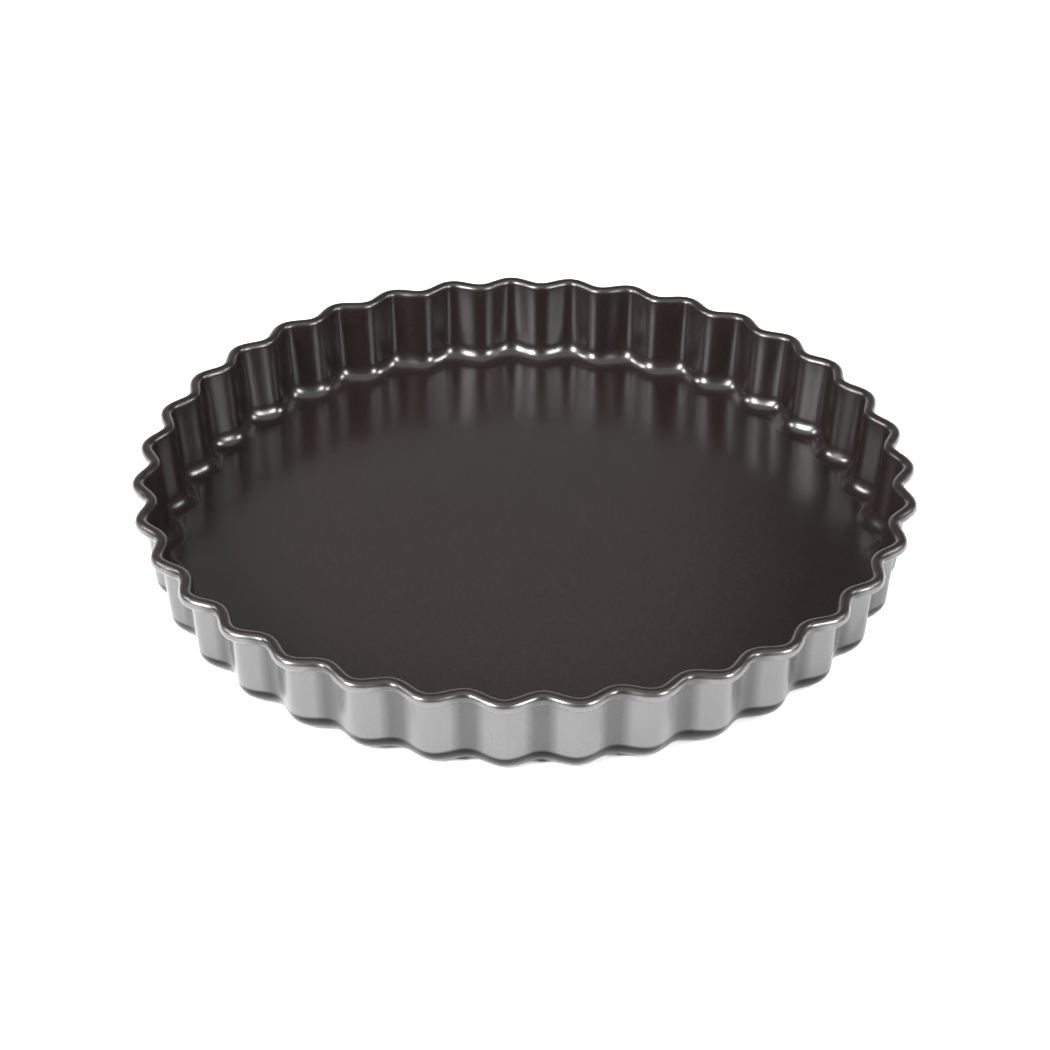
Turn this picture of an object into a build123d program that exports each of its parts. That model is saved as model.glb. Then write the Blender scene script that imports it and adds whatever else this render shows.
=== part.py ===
"""Tart pan: a fluted, one-piece pressed steel pan with a rolled rim and a coat on each side.

Units are millimetres.  +Z is up.  The origin is on the pan's axis at the underside, and the
crest of one flute lies on +X.

Every surface is a stack of "rings".  A ring is the wavy outline of the pan at one height.
"""
import os
from math import acos, cos, degrees, pi, radians, sin, tan

from build123d import *

# Overall size
RIM_DIAMETER = 300.0        # over the flute crests of the rolled rim
PAN_HEIGHT = 36.0
FLUTES = 35
POINTS_PER_FLUTE = 6        # spline points along one flute of a ring

# Flute depth: how far a crest or a trough stands from the mean outline
RIM_WAVE = 2.5
WALL_FOOT_WAVE = 2.3
FLOOR_WAVE = 1.9

# Sheet and coats
SHEET = 0.6                 # pressed steel
COAT = 0.15                 # lining and outer coat, each modelled thicker than sprayed
HALF_SHEET = SHEET / 2
HALF_TOTAL = HALF_SHEET + COAT

# Rolled rim
BEAD_RADIUS = 2.5           # outside of the roll, coats included
ROLL_RADIUS = BEAD_RADIUS - HALF_TOTAL          # middle of the sheet in the roll
ROLL_CENTRE = RIM_DIAMETER / 2 - RIM_WAVE - BEAD_RADIUS
ROLL_HEIGHT = PAN_HEIGHT - BEAD_RADIUS
SEAM_GAP = 0.1              # between the cut edge of the roll and the wall
COAT_SPLIT = 45.0           # angle on the roll where the lining ends and the outer coat begins
ROLL_STEP = 24.0            # largest angle between two rings round the roll

# Wall and the round between wall and floor
DRAFT = 3.0                 # the wall leans outward by this angle
COVE_RADIUS = 7.5           # food side
SKIN_MID = HALF_TOTAL       # height of the middle of the sheet over the underside
COVE_MID_RADIUS = COVE_RADIUS + HALF_TOTAL
COVE_HEIGHT = SKIN_MID + COVE_MID_RADIUS
COVE_STEPS = 6

TANGENT = 180.0 - DRAFT     # angle on the roll where the wall runs into it
WALL_LINE_AT_ROLL = ROLL_CENTRE - ROLL_RADIUS / cos(radians(DRAFT))
COVE_CENTRE = (
    WALL_LINE_AT_ROLL
    - (ROLL_HEIGHT - COVE_HEIGHT) * tan(radians(DRAFT))
    - COVE_MID_RADIUS / cos(radians(DRAFT))
)


def ring(radius, wave, height, offset=0.0):
    """Closed wavy outline, moved outward along its own normal by offset: one edge per flute."""
    edges = []
    for flute in range(FLUTES):
        points = []
        for step in range(POINTS_PER_FLUTE + 1):
            angle = 2 * pi * (flute + step / POINTS_PER_FLUTE) / FLUTES
            reach = radius + wave * cos(FLUTES * angle)
            slope = -wave * FLUTES * sin(FLUTES * angle)
            normal = Vector(reach, -slope).normalized().rotate(Axis.Z, degrees(angle))
            place = Vector(reach, 0).rotate(Axis.Z, degrees(angle)) + normal * offset
            points.append((place.X, place.Y, height))
        crest_tangents = [
            Vector(0, 1).rotate(Axis.Z, 360 * crest / FLUTES) for crest in (flute, flute + 1)
        ]
        edges.append(Edge.make_spline(points, tangents=crest_tangents))
    return Wire(edges)


def roll_ring(radius, angle):
    """Ring on the rolled rim: angle 90 is the top of the roll and 0 is its outer side."""
    turn = radians(angle)
    return ring(ROLL_CENTRE, RIM_WAVE, ROLL_HEIGHT + radius * sin(turn), radius * cos(turn))


def roll_rings(radius, start, stop):
    """Rings round the roll from one angle to another."""
    steps = max(1, round(abs(stop - start) / ROLL_STEP))
    return [roll_ring(radius, start + (stop - start) * step / steps) for step in range(steps + 1)]


def cove_ring(side, turn):
    """Ring on the round at the foot of the wall; turn runs from DRAFT (wall) to 90 (floor).

    side is the distance from the middle of the sheet, positive on the outer side.
    """
    lean = radians(turn)
    share = (turn - DRAFT) / (90.0 - DRAFT)
    wave = WALL_FOOT_WAVE + (FLOOR_WAVE - WALL_FOOT_WAVE) * share
    return ring(
        COVE_CENTRE + COVE_MID_RADIUS * cos(lean),
        wave,
        COVE_HEIGHT - (COVE_MID_RADIUS + side) * sin(lean),
        side * cos(lean),
    )


def cove_rings(side):
    """Rings from the foot of the wall down to the floor."""
    return [cove_ring(side, DRAFT + (90.0 - DRAFT) * step / COVE_STEPS) for step in range(COVE_STEPS + 1)]


def skin(rings, ruled=False):
    """Faces through a stack of rings."""
    return Shell.make_loft(rings, ruled=ruled).faces()


def disc(outline):
    """Flat face inside one ring."""
    return [Face(outline)]


def closed_solid(*face_groups):
    """Solid bounded by groups of faces that share their rings."""
    faces = [face for group in face_groups for face in group]
    return Solid(Shell(faces))


def seam_angle(roll_radius, wall_side, gap=0.0):
    """Angle on the roll's underside where a circle round it meets the outer side of the wall."""
    reach = ROLL_RADIUS - wall_side - gap
    return TANGENT + degrees(acos(reach / roll_radius)) - 360.0


# Pressed steel body -------------------------------------------------------------------------
# Inside: floor, cove, wall and over the roll to its cut edge.  Then back through the inside
# of the roll and down the outer side to the underside.
STEEL_ROLL_OUT = ROLL_RADIUS + HALF_SHEET
STEEL_ROLL_IN = ROLL_RADIUS - HALF_SHEET
CUT_EDGE = seam_angle(STEEL_ROLL_OUT, HALF_SHEET, SEAM_GAP)
SEAM = seam_angle(STEEL_ROLL_OUT, HALF_SHEET)

inner_cove = cove_rings(-HALF_SHEET)
outer_cove = cove_rings(HALF_SHEET)
lined_roll = roll_rings(STEEL_ROLL_OUT, TANGENT, COAT_SPLIT)
coated_roll = roll_rings(STEEL_ROLL_OUT, COAT_SPLIT, CUT_EDGE)
roll_inside = roll_rings(STEEL_ROLL_IN, TANGENT, CUT_EDGE)
seam_ring = roll_ring(STEEL_ROLL_OUT, SEAM)      # on the wall's outer side, level with the seam

with BuildPart() as pressed_body:
    add(
        closed_solid(
            disc(inner_cove[-1]),
            skin(inner_cove),
            skin([inner_cove[0], lined_roll[0]], ruled=True),
            skin(lined_roll),
            skin(coated_roll),
            skin([coated_roll[-1], roll_inside[-1]], ruled=True),
            skin(roll_inside),
            skin([roll_inside[0], seam_ring], ruled=True),
            skin([seam_ring, outer_cove[0]], ruled=True),
            skin(outer_cove),
            disc(outer_cove[-1]),
        )
    )

# Non-stick lining ---------------------------------------------------------------------------
lining_cove = cove_rings(-HALF_TOTAL)
lining_face_roll = roll_rings(BEAD_RADIUS, TANGENT, COAT_SPLIT)

with BuildPart() as lining:
    add(
        closed_solid(
            disc(inner_cove[-1]),
            skin(inner_cove),
            skin([inner_cove[0], lined_roll[0]], ruled=True),
            skin(lined_roll),
            skin([lined_roll[-1], lining_face_roll[-1]], ruled=True),
            skin(lining_face_roll),
            skin([lining_face_roll[0], lining_cove[0]], ruled=True),
            skin(lining_cove),
            disc(lining_cove[-1]),
        )
    )

# Outer coat ---------------------------------------------------------------------------------
# From the lining's edge round the outer side of the roll, across the seam under it, and down
# the wall to the underside.
coat_cove = cove_rings(HALF_TOTAL)
coat_face_roll = roll_rings(BEAD_RADIUS, COAT_SPLIT, seam_angle(BEAD_RADIUS, HALF_TOTAL))

with BuildPart() as outer_coat:
    add(
        closed_solid(
            skin(coated_roll),
            skin([coated_roll[-1], seam_ring], ruled=True),
            skin([seam_ring, outer_cove[0]], ruled=True),
            skin(outer_cove),
            disc(outer_cove[-1]),
            disc(coat_cove[-1]),
            skin(coat_cove),
            skin([coat_face_roll[-1], coat_cove[0]], ruled=True),
            skin(coat_face_roll),
            skin([coat_face_roll[0], coated_roll[0]], ruled=True),
        )
    )

# Export -------------------------------------------------------------------------------------
os.makedirs("parts", exist_ok=True)
for name, builder in (
    ("pressed_body", pressed_body),
    ("nonstick_lining", lining),
    ("outer_coat", outer_coat),
):
    builder.part.label = name
    export_step(builder.part, f"parts/{name}.step")
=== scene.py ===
"""Looks of the fluted tart pan.

Each of its three layers is a fine mesh turned from a profile.  After them come their materials,
the studio and the camera.

Units are metres in the frame of the CAD model: +Z is up, the origin is on the pan's axis at the
underside, and the crest of one flute lies on +X.
"""

from math import acos, cos, degrees, pi, radians, sin, sqrt, tan

import bmesh
import bpy
import numpy as np
from mathutils import Matrix, Vector


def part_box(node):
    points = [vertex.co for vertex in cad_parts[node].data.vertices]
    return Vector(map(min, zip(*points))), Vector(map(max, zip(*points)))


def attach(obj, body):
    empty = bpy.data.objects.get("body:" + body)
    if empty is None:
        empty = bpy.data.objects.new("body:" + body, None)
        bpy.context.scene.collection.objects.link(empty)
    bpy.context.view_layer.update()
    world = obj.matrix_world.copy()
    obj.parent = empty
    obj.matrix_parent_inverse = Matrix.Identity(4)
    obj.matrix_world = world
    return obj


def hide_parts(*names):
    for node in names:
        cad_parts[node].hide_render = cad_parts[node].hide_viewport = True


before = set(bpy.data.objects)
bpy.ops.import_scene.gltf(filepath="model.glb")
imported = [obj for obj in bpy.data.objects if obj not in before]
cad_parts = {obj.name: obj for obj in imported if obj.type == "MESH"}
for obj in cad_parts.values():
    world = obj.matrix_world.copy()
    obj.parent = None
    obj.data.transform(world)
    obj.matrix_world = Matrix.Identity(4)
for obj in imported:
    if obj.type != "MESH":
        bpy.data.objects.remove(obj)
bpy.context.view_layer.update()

MM = 0.001

# Size, read from the frame ----------------------------------------------------------------------
RIM_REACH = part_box("outer_coat")[1].x           # the flute crest on +X, over the rolled rim
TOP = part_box("nonstick_lining")[1].z
STEEL_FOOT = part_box("pressed_body")[0].z        # the steel stands on the outer coat under the base

# The pan's own shape ----------------------------------------------------------------------------
FLUTES = 35
SHEET = 0.6 * MM
COAT = STEEL_FOOT
HALF_SHEET = SHEET / 2
HALF_TOTAL = HALF_SHEET + COAT
BAKING_FLOOR = COAT + SHEET + COAT              # height of the lining's top face

RIM_WAVE = 2.5 * MM                             # flute depth: from the mean outline to a crest
WALL_FOOT_WAVE = 2.3 * MM
FLOOR_WAVE = 1.9 * MM

BEAD_RADIUS = 2.5 * MM
ROLL_RADIUS = BEAD_RADIUS - HALF_TOTAL          # middle of the sheet in the roll
STEEL_ROLL_OUT = ROLL_RADIUS + HALF_SHEET
STEEL_ROLL_IN = ROLL_RADIUS - HALF_SHEET
ROLL_CENTRE = RIM_REACH - RIM_WAVE - BEAD_RADIUS
ROLL_HEIGHT = TOP - BEAD_RADIUS
SEAM_GAP = 0.1 * MM
COAT_SPLIT = 45.0                               # angle on the roll where lining and outer coat meet

DRAFT = 3.0                                     # the wall leans outward by this angle
COVE_RADIUS = 7.5 * MM                          # round between wall and floor, food side
COVE_MID_RADIUS = COVE_RADIUS + HALF_TOTAL
COVE_HEIGHT = HALF_TOTAL + COVE_MID_RADIUS
TANGENT = 180.0 - DRAFT                         # angle on the roll where the wall runs into it
WALL_LINE_AT_ROLL = ROLL_CENTRE - ROLL_RADIUS / cos(radians(DRAFT))
COVE_CENTRE = (
    WALL_LINE_AT_ROLL
    - (ROLL_HEIGHT - COVE_HEIGHT) * tan(radians(DRAFT))
    - COVE_MID_RADIUS / cos(radians(DRAFT))
)

# Mesh density
COLUMNS_PER_FLUTE = 20
COLUMNS = FLUTES * COLUMNS_PER_FLUTE
COVE_ROWS = 12
WALL_ROWS = 4
ROLL_STEP = 15.0                                # largest angle between two rows round the roll
FLOOR_RINGS = (0.25, 0.5, 0.75, 0.9)            # shares of the base's radius
EDGE_RUN = 0.06 * MM                            # from a corner to the extra row beside it
LARGEST_EDGE_SHARE = 0.25                       # of a narrow face, taken by that run
SHARP_ANGLE = 40.0


# Profile rows: (radius, wave, height, offset along the outline's normal) --------------------------
def roll_row(radius, angle):
    """Row on the rolled rim; angle 90 is its top and 0 its outer side."""
    turn = radians(angle)
    return (ROLL_CENTRE, RIM_WAVE, ROLL_HEIGHT + radius * sin(turn), radius * cos(turn))


def roll_rows(radius, start, stop):
    """Rows round the roll from one angle to another."""
    steps = max(1, round(abs(stop - start) / ROLL_STEP))
    return [roll_row(radius, start + (stop - start) * step / steps) for step in range(steps + 1)]


def cove_rows(side):
    """Rows from the floor up to the foot of the wall, at a distance from the middle of the sheet."""
    rows = []
    for step in range(COVE_ROWS + 1):
        turn = 90.0 - (90.0 - DRAFT) * step / COVE_ROWS
        lean = radians(turn)
        share = (turn - DRAFT) / (90.0 - DRAFT)
        rows.append((
            COVE_CENTRE + COVE_MID_RADIUS * cos(lean),
            WALL_FOOT_WAVE + (FLOOR_WAVE - WALL_FOOT_WAVE) * share,
            COVE_HEIGHT - (COVE_MID_RADIUS + side) * sin(lean),
            side * cos(lean),
        ))
    return rows


def floor_rows(edge_row):
    """Rows on the flat base, from near its middle out to the cove."""
    radius, wave, height, offset = edge_row
    return [(radius * share, wave * share, height, offset * share) for share in FLOOR_RINGS]


def part_way(first, second, share):
    """Row at a share of the way from one row to another."""
    return tuple(a + (b - a) * share for a, b in zip(first, second))


def wall_rows(foot, top):
    """Rows on the straight wall between two rows."""
    return [part_way(foot, top, step / WALL_ROWS) for step in range(1, WALL_ROWS)]


def side_rows(side, top_row):
    """Rows of one side of the pan, from the middle of the base up the wall to a row at the rim."""
    cove = cove_rows(side)
    return floor_rows(cove[0]) + cove + wall_rows(cove[-1], top_row)


def seam_angle(roll_radius, wall_side, gap=0.0):
    """Angle on the roll's underside where a circle round it meets the outer side of the wall."""
    return TANGENT + degrees(acos((ROLL_RADIUS - wall_side - gap) / roll_radius)) - 360.0


SEAM = seam_angle(STEEL_ROLL_OUT, HALF_SHEET)
CUT_EDGE = seam_angle(STEEL_ROLL_OUT, HALF_SHEET, SEAM_GAP)
COAT_EDGE = seam_angle(BEAD_RADIUS, HALF_TOTAL)


# Meshes -----------------------------------------------------------------------------------------
def outline(radius, wave, offset, angles):
    """x and y of the wavy outline, moved outward along its own normal."""
    reach = radius + wave * np.cos(FLUTES * angles)
    slope = -wave * FLUTES * np.sin(FLUTES * angles)
    along_x = reach * np.cos(angles) + slope * np.sin(angles)
    along_y = reach * np.sin(angles) - slope * np.cos(angles)
    length = np.hypot(along_x, along_y)
    return (
        reach * np.cos(angles) + offset * along_x / length,
        reach * np.sin(angles) + offset * along_y / length,
    )


def turned_points(rows, start_height, stop_height):
    """Points of every row round the pan, then the two points on the axis."""
    angles = np.arange(COLUMNS) * 2 * pi / COLUMNS
    grid = []
    for radius, wave, height, offset in rows:
        x, y = outline(radius, wave, offset, angles)
        grid.append(np.stack([x, y, np.full(COLUMNS, height)], axis=1))
    return np.concatenate(grid).tolist() + [(0, 0, start_height), (0, 0, stop_height)]


def turned_faces(row_count):
    """Quads between the rows, and a fan from each point on the axis to its nearest row."""
    faces = []
    for row in range(row_count - 1):
        for column in range(COLUMNS):
            right = (column + 1) % COLUMNS
            low, high = row * COLUMNS, (row + 1) * COLUMNS
            faces.append((low + column, low + right, high + right, high + column))
    last_row = (row_count - 1) * COLUMNS
    start = row_count * COLUMNS
    stop = start + 1
    for column in range(COLUMNS):
        right = (column + 1) % COLUMNS
        faces.append((start, right, column))
        faces.append((stop, last_row + column, last_row + right))
    return faces


def layer(name, rows, start_height, stop_height):
    """Closed mesh turned from a profile that starts and stops on the axis."""
    mesh = bpy.data.meshes.new(name)
    mesh.from_pydata(turned_points(rows, start_height, stop_height), [], turned_faces(len(rows)))
    work = bmesh.new()
    work.from_mesh(mesh)
    bmesh.ops.recalc_face_normals(work, faces=work.faces)
    work.to_mesh(mesh)
    work.free()
    mesh.shade_smooth()
    mesh.set_sharp_from_angle(angle=radians(SHARP_ANGLE))
    piece = bpy.data.objects.new(name, mesh)
    bpy.context.collection.objects.link(piece)
    return piece


def edge_guards(first, second):
    """Two rows just inside a narrow end face, beside its two edges."""
    span = sqrt(sum((a - b) ** 2 for a, b in zip(first[2:], second[2:])))
    share = min(LARGEST_EDGE_SHARE, EDGE_RUN / span)
    return [part_way(first, second, share), part_way(first, second, 1 - share)]


def build_steel():
    """Inside, over the roll to its cut edge, back through the roll and down the outer side."""
    over = roll_rows(STEEL_ROLL_OUT, TANGENT, CUT_EDGE)
    back = roll_rows(STEEL_ROLL_IN, CUT_EDGE, TANGENT)
    inside = side_rows(-HALF_SHEET, over[0])
    outside = side_rows(HALF_SHEET, roll_row(STEEL_ROLL_OUT, SEAM))
    rows = inside + over + edge_guards(over[-1], back[0]) + back + outside[::-1]
    return layer("steel_sheet", rows, inside[0][2], outside[0][2])


def build_lining():
    """The side on the steel up to the crest of the roll, and the food side back down."""
    under = roll_rows(STEEL_ROLL_OUT, TANGENT, COAT_SPLIT)
    face = roll_rows(BEAD_RADIUS, COAT_SPLIT, TANGENT)
    back = side_rows(-HALF_SHEET, under[0])
    front = side_rows(-HALF_TOTAL, face[-1])
    rows = back + under + face + front[::-1]
    return layer("nonstick_film", rows, back[0][2], front[0][2])


def build_outer_coat():
    """The side on the steel up to the lining's edge, and the face back down across the seam."""
    under = roll_rows(STEEL_ROLL_OUT, SEAM, COAT_SPLIT)
    face = roll_rows(BEAD_RADIUS, COAT_SPLIT, COAT_EDGE)
    back = side_rows(HALF_SHEET, under[0])
    front = side_rows(HALF_TOTAL, face[-1])
    rows = back + under + face + front[::-1]
    return layer("silver_film", rows, back[0][2], front[0][2])


# Materials --------------------------------------------------------------------------------------
# Painted shade on the outer coat: its colour is kept whole on the crests and under the base,
# and only these shares of it in a trough and in the band round the foot.
PAINTED_TROUGH_SHADE = 0.52
PAINTED_FOOT_SHADE = 0.10
PAINTED_TROUGH_FADE = (-0.85, -0.10)                    # flute wave, from the shaded trough to the crest
PAINTED_FOOT_FADE = (COVE_HEIGHT - 0.8 * MM, COVE_HEIGHT + 0.3 * MM)        # heights over the band
BASE_FADE = (0.3 * MM, 1.3 * MM)                # heights from the plain base to the band


class Nodes:
    """Short helper to add and link shader nodes."""

    def __init__(self, name):
        self.material = bpy.data.materials.new(name)
        self.material.use_nodes = True
        self.tree = self.material.node_tree
        self.shader = self.tree.nodes["Principled BSDF"]
        self.place = self.add("ShaderNodeTexCoord").outputs["Object"]

    def add(self, kind, **settings):
        node = self.tree.nodes.new(kind)
        for key, value in settings.items():
            setattr(node, key, value)
        return node

    def link(self, source, target):
        self.tree.links.new(source, target)

    def noise(self, scale, detail=2.0):
        """Noise whose features are about 1/scale metres across."""
        node = self.add("ShaderNodeTexNoise")
        node.inputs["Scale"].default_value = scale
        node.inputs["Detail"].default_value = detail
        self.link(self.place, node.inputs["Vector"])
        return node.outputs["Fac"]

    def spread(self, source, low, high, from_low=0.0, from_high=1.0):
        """Maps a value to a range."""
        node = self.add("ShaderNodeMapRange")
        for key, value in (
            ("From Min", from_low), ("From Max", from_high), ("To Min", low), ("To Max", high),
        ):
            node.inputs[key].default_value = value
        self.link(source, node.inputs["Value"])
        return node.outputs["Result"]

    def math(self, operation, first, second=None):
        node = self.add("ShaderNodeMath", operation=operation)
        for value, socket in zip((first, second), node.inputs):
            if isinstance(value, float):
                socket.default_value = value
            elif value is not None:
                self.link(value, socket)
        return node.outputs["Value"]

    def axes(self):
        """The place split into X, Y and Z."""
        split = self.add("ShaderNodeSeparateXYZ")
        self.link(self.place, split.inputs["Vector"])
        return split.outputs

    def height(self):
        return self.axes()["Z"]

    def flute_wave(self):
        """1 on a flute's crest and -1 in a trough."""
        axes = self.axes()
        angle = self.math("ARCTAN2", axes["Y"], axes["X"])
        return self.math("COSINE", self.math("MULTIPLY", angle, float(FLUTES)))

    def tint(self, colour, shade):
        """Colour times a value."""
        node = self.add("ShaderNodeVectorMath", operation="SCALE")
        self.link(colour, node.inputs["Vector"])
        self.link(shade, node.inputs["Scale"])
        return node.outputs["Vector"]

    def ramp(self, source, stops):
        """Colour along a value: stops are (position, colour)."""
        node = self.add("ShaderNodeValToRGB")
        ramp = node.color_ramp
        ramp.elements[0].position, ramp.elements[1].position = stops[0][0], stops[-1][0]
        ramp.elements[0].color, ramp.elements[1].color = (*stops[0][1], 1), (*stops[-1][1], 1)
        for position, colour in stops[1:-1]:
            ramp.elements.new(position).color = (*colour, 1)
        self.link(source, node.inputs["Fac"])
        return node.outputs["Color"]

    def bump(self, height, distance, strength=1.0, below=None):
        node = self.add("ShaderNodeBump")
        node.inputs["Distance"].default_value = distance
        node.inputs["Strength"].default_value = strength
        self.link(height, node.inputs["Height"])
        if below is not None:
            self.link(below, node.inputs["Normal"])
        return node.outputs["Normal"]

    def set(self, **values):
        for key, value in values.items():
            self.shader.inputs[key.replace("_", " ")].default_value = value


def nonstick_material():
    """Glossy black-brown film with a faint orange peel and fine mineral specks."""
    m = Nodes("nonstick")
    colour = m.ramp(m.noise(1900, 4.0), [
        (0.30, (0.0052, 0.0034, 0.0033)),
        (0.55, (0.0072, 0.0046, 0.0044)),
        (0.74, (0.0165, 0.0125, 0.0120)),
    ])
    m.link(colour, m.shader.inputs["Base Color"])
    worn = m.spread(m.noise(60, 3.0), -0.02, 0.02, 0.3, 0.7)
    smoother_floor = m.spread(m.height(), 0.20, 0.31, BAKING_FLOOR, COVE_HEIGHT)
    m.link(m.math("ADD", worn, smoother_floor), m.shader.inputs["Roughness"])
    peel = m.bump(m.noise(420, 2.0), 0.014 * MM, 0.30)
    m.link(m.bump(m.noise(1600, 3.0), 0.006 * MM, 0.5, peel), m.shader.inputs["Normal"])
    m.set(IOR=1.5)
    return m.material


def silver_material():
    """Silver-grey metallic film with fine flake, with painted shade in the troughs and in a band
    round the foot.
    """
    m = Nodes("silver_coat")
    flake = m.noise(3400, 2.0)
    bright = m.ramp(flake, [
        (0.30, (0.108, 0.107, 0.107)),
        (0.70, (0.128, 0.127, 0.127)),
    ])
    # Painted shade: the troughs are darkened in the colour itself, not by the lamps.
    trough_painted_shade = m.spread(m.flute_wave(), PAINTED_TROUGH_SHADE, 1.0, *PAINTED_TROUGH_FADE)
    # Painted shade: the band round the foot stands in for the reflected shadow under the pan; the
    # flat base keeps the plain colour.
    foot_painted_shade = m.spread(m.height(), PAINTED_FOOT_SHADE, 1.0, *PAINTED_FOOT_FADE)
    under_base = m.spread(m.height(), 1.0, PAINTED_TROUGH_SHADE * PAINTED_FOOT_SHADE, *BASE_FADE)
    shade = m.math("MAXIMUM", m.math("MULTIPLY", trough_painted_shade, foot_painted_shade), under_base)
    m.link(m.tint(bright, shade), m.shader.inputs["Base Color"])
    m.link(m.spread(m.noise(90, 3.0), 0.26, 0.32, 0.3, 0.7), m.shader.inputs["Roughness"])
    peel = m.bump(m.noise(260, 2.0), 0.010 * MM, 0.08)
    m.link(m.bump(flake, 0.003 * MM, 0.12, peel), m.shader.inputs["Normal"])
    m.set(Metallic=0.9)
    return m.material


def steel_material():
    """Bare cold-rolled steel with a fine mottle."""
    m = Nodes("sheet_steel")
    colour = m.ramp(m.noise(900, 4.0), [
        (0.30, (0.36, 0.36, 0.37)),
        (0.70, (0.52, 0.52, 0.53)),
    ])
    m.link(colour, m.shader.inputs["Base Color"])
    m.link(m.spread(m.noise(700, 3.0), 0.30, 0.45, 0.3, 0.7), m.shader.inputs["Roughness"])
    m.link(m.bump(m.noise(1500, 3.0), 0.006 * MM, 0.6), m.shader.inputs["Normal"])
    m.set(Metallic=1.0)
    return m.material


def floor_material():
    """Plain matt white."""
    m = Nodes("studio_floor")
    colour = m.ramp(m.noise(8, 2.0), [(0.3, (0.93, 0.93, 0.93)), (0.7, (0.95, 0.95, 0.95))])
    m.link(colour, m.shader.inputs["Base Color"])
    m.set(Roughness=0.8)
    m.shader.inputs["Specular IOR Level"].default_value = 0.2
    return m.material


# Pieces -----------------------------------------------------------------------------------------
for build, node, slot, material in (
    (build_steel, "pressed_body", "sheet_steel", steel_material()),
    (build_lining, "nonstick_lining", "nonstick", nonstick_material()),
    (build_outer_coat, "outer_coat", "silver_coat", silver_material()),
):
    piece = build()
    piece.data.materials.append(material)
    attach(piece, "root")
    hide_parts(node)


# Studio -----------------------------------------------------------------------------------------
FLOOR_REACH = 4.0                               # from the pan's axis to each side of the floor


def build_floor():
    mesh = bpy.data.meshes.new("studio_floor")
    sides = ((-1, -1), (1, -1), (1, 1), (-1, 1))
    corners = [(x * FLOOR_REACH, y * FLOOR_REACH, 0) for x, y in sides]
    mesh.from_pydata(corners, [], [(0, 1, 2, 3)])
    floor = bpy.data.objects.new("studio_floor", mesh)
    floor.data.materials.append(floor_material())
    bpy.context.collection.objects.link(floor)


def softbox(name, place, width, height, power, target=(0, 0, 0)):
    """Rectangular lamp that faces a target; its power is in watts."""
    lamp = bpy.data.lights.new(name, "AREA")
    lamp.shape = "RECTANGLE"
    lamp.size, lamp.size_y = width, height
    lamp.energy = power
    box = bpy.data.objects.new(name, lamp)
    box.location = place
    box.rotation_euler = (Vector(target) - Vector(place)).to_track_quat("-Z", "Y").to_euler()
    bpy.context.collection.objects.link(box)


def set_world(strength):
    """Even white light from all round."""
    world = bpy.data.worlds.new("studio")
    world.use_nodes = True
    background = world.node_tree.nodes["Background"]
    background.inputs["Color"].default_value = (1, 1, 1, 1)
    background.inputs["Strength"].default_value = strength
    bpy.context.scene.world = world


build_floor()
set_world(0.15)
softbox("overhead_box", (0, -0.7, 1.6), 2.4, 1.8, 18, target=(0, -0.7, 0))
# Two key lights: they make the streaks on the back wall and the highlights in the cove.
softbox("front_left_box", (-0.85, -0.72, 0.80), 0.42, 0.60, 50)
softbox("front_right_box", (0.95, -0.80, 0.78), 0.34, 0.50, 28)
# Mirrored in the middle of the baking floor.
softbox("back_panel", (-0.25, 1.9, 1.15), 1.0, 0.8, 0.9)
# Whitens the floor behind the pan.
softbox("backdrop_glow", (0, 2.4, 0.3), 5.0, 0.5, 24)
# Highlights in the side flutes.
softbox("left_side_box", (-1.2, 0.0, 0.90), 0.36, 0.36, 17)
softbox("right_side_box", (1.2, 0.0, 0.90), 0.36, 0.36, 14)


# Camera -----------------------------------------------------------------------------------------
CAMERA_TURN = 0.105                             # degrees about the pan's axis
CAMERA_PITCH = 34.344                           # degrees down from level
CAMERA_ROLL = 0.132
CAMERA_DISTANCE = 0.89636
CAMERA_TARGET = (0.0002, -0.0394, ROLL_HEIGHT)
LENS_MM = 82.76
SENSOR_MM = 36.0

camera_data = bpy.data.cameras.new("camera")
camera_data.lens = LENS_MM
camera_data.sensor_width = SENSOR_MM
camera = bpy.data.objects.new("camera", camera_data)
turn = Matrix.Rotation(radians(CAMERA_TURN), 4, "Z")
facing = Matrix.Rotation(radians(90.0 - CAMERA_PITCH), 4, "X")
tilt = Matrix.Rotation(radians(CAMERA_ROLL), 4, "Z")
backward = Vector((0, -cos(radians(CAMERA_PITCH)), sin(radians(CAMERA_PITCH))))
spot = Matrix.Translation(Vector(CAMERA_TARGET) + CAMERA_DISTANCE * backward)
camera.matrix_world = turn @ spot @ facing @ tilt
bpy.context.collection.objects.link(camera)
bpy.context.scene.camera = camera
bpy.context.scene.view_settings.view_transform = "Standard"
